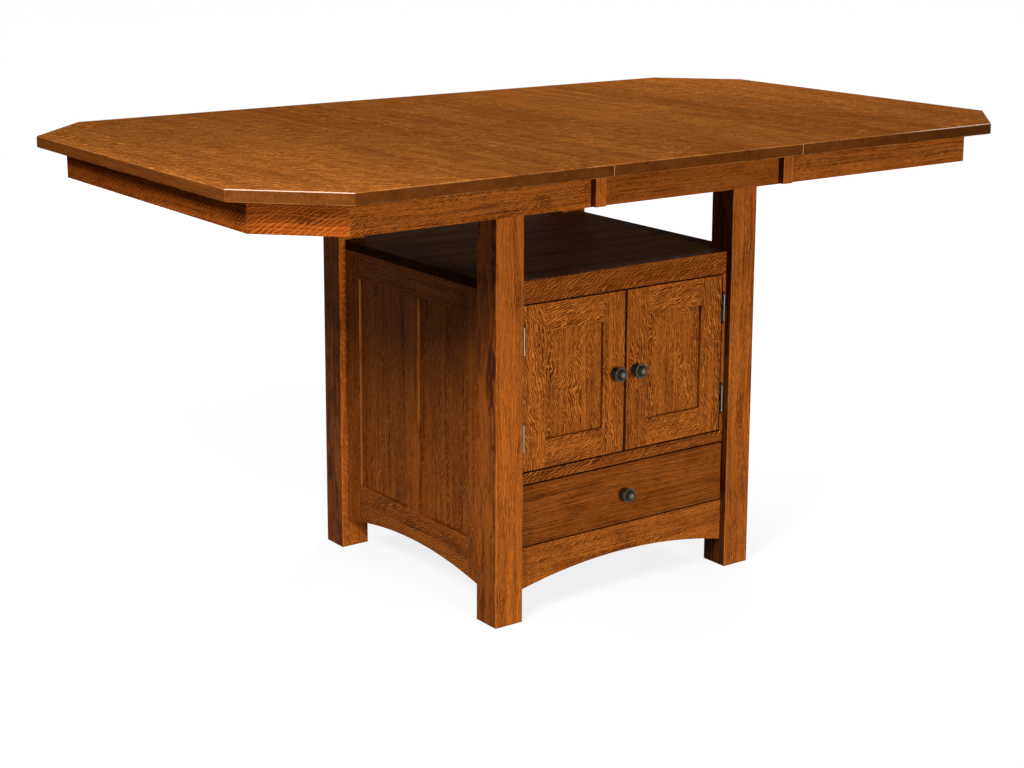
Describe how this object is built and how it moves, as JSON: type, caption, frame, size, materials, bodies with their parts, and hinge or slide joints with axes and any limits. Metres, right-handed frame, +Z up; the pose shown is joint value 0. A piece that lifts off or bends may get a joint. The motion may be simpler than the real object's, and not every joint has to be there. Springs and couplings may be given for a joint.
{
  "type": "cabinet table",
  "caption": "Counter-height oak table: a clipped-corner top extends over a lift-out leaf, on a square cabinet base with an open shelf, inset panel doors, a drawer and arched rails.",
  "frame": {"origin": "on the floor under the middle of the square base", "axes": "+X along the table's length, -Y towards the doors and the drawer, +Z up"},
  "size_m": [1.8288, 1.0668, 0.9144],
  "materials": {
    "oak_top": "satin lacquer over amber-brown stain",
    "oak_stained": "satin lacquer over amber-brown stain",
    "drawer_wood": "clear lacquer",
    "slide_wood": "sanded hardwood, waxed",
    "zinc_steel": "zinc plated",
    "antique_pewter": "antique pewter",
    "gear_nylon": "moulded nylon",
    "catch_plastic": "moulded"
  },
  "bodies": {
    "base": {"leg_front_left": "oak_stained", "leg_front_right": "oak_stained", "leg_back_left": "oak_stained", "leg_back_right": "oak_stained", "front_bottom_rail": "oak_stained", "front_cross_rails": "oak_stained", "hinge_strips": "oak_stained", "left_side_stiles": "oak_stained", "left_side_rails": "oak_stained", "left_side_panels": "oak_stained", "right_side_stiles": "oak_stained", "right_side_rails": "oak_stained", "right_side_panels": "oak_stained", "back_stiles": "oak_stained", "back_rails": "oak_stained", "back_panels": "oak_stained", "open_shelf": "oak_stained", "cupboard_floor": "oak_stained", "cabinet_bottom": "oak_stained", "drawer_slide_cleats": "slide_wood", "cabinet_slide_channels": "zinc_steel", "top_frame_rails": "oak_stained", "equalizer_rails": "slide_wood", "pinion_posts": "zinc_steel", "frame_hinge_plates": "antique_pewter", "hinge_pins": "antique_pewter", "door_catch": "catch_plastic"},
    "left_top_half": {"left_top": "oak_top", "left_long_aprons": "oak_stained", "left_end_aprons": "oak_stained", "left_cover_blocks": "oak_stained", "left_runners": "slide_wood", "left_racks": "gear_nylon"},
    "right_top_half": {"right_top": "oak_top", "right_long_aprons": "oak_stained", "right_end_aprons": "oak_stained", "right_cover_blocks": "oak_stained", "right_runners": "slide_wood", "right_racks": "gear_nylon"},
    "leaf": {"leaf_top": "oak_top", "leaf_aprons": "oak_stained"},
    "front_pinion": {"front_pinion": "gear_nylon"},
    "back_pinion": {"back_pinion": "gear_nylon"},
    "drawer": {"drawer_front": "oak_stained", "drawer_sides": "drawer_wood", "drawer_back": "drawer_wood", "drawer_bottom": "drawer_wood", "drawer_knob": "antique_pewter", "drawer_slide_channels": "zinc_steel"},
    "drawer_slide_middles": {"middle_slide_channels": "zinc_steel"},
    "left_door": {"left_door_stiles": "oak_stained", "left_door_rails": "oak_stained", "left_door_panel": "oak_stained", "left_door_knob": "antique_pewter", "left_door_hinge_plates": "antique_pewter"},
    "right_door": {"right_door_stiles": "oak_stained", "right_door_rails": "oak_stained", "right_door_panel": "oak_stained", "right_door_knob": "antique_pewter", "right_door_hinge_plates": "antique_pewter"}
  },
  "joints": [
    {"name": "left_half_slide", "type": "slide", "parent": "base", "child": "left_top_half", "axis": [-1, 0, 0], "range_m": [0, 0.2286]},
    {"name": "right_half_slide", "type": "slide", "parent": "base", "child": "right_top_half", "axis": [1, 0, 0], "range_m": [0, 0.2286]},
    {"name": "leaf_lift", "type": "slide", "parent": "base", "child": "leaf", "axis": [0, 0, 1], "range_m": [0, 0.15]},
    {"name": "front_pinion_spin", "type": "hinge", "parent": "base", "child": "front_pinion", "pos_m": [0, -0.15, 0.8748], "axis": [0, 0, 1], "range_deg": [-728, 0]},
    {"name": "back_pinion_spin", "type": "hinge", "parent": "base", "child": "back_pinion", "pos_m": [0, 0.15, 0.8748], "axis": [0, 0, 1], "range_deg": [-728, 0]},
    {"name": "drawer_slide", "type": "slide", "parent": "base", "child": "drawer", "axis": [0, -1, 0], "range_m": [0, 0.4572]},
    {"name": "drawer_slide_middles_slide", "type": "slide", "parent": "base", "child": "drawer_slide_middles", "axis": [0, -1, 0], "range_m": [0, 0.2286]},
    {"name": "left_door_hinge", "type": "hinge", "parent": "base", "child": "left_door", "pos_m": [-0.25165, -0.29845, 0.4555], "axis": [0, 0, -1], "range_deg": [0, 110]},
    {"name": "right_door_hinge", "type": "hinge", "parent": "base", "child": "right_door", "pos_m": [0.25165, -0.29845, 0.4555], "axis": [0, 0, 1], "range_deg": [0, 110]}
  ],
  "couplings": [
    {"joint": "right_half_slide", "follows": "left_half_slide", "ratio": 1},
    {"joint": "front_pinion_spin", "follows": "left_half_slide", "rad_per_m": -55.556},
    {"joint": "back_pinion_spin", "follows": "left_half_slide", "rad_per_m": -55.556},
    {"joint": "drawer_slide_middles_slide", "follows": "drawer_slide", "ratio": 0.5}
  ]
}
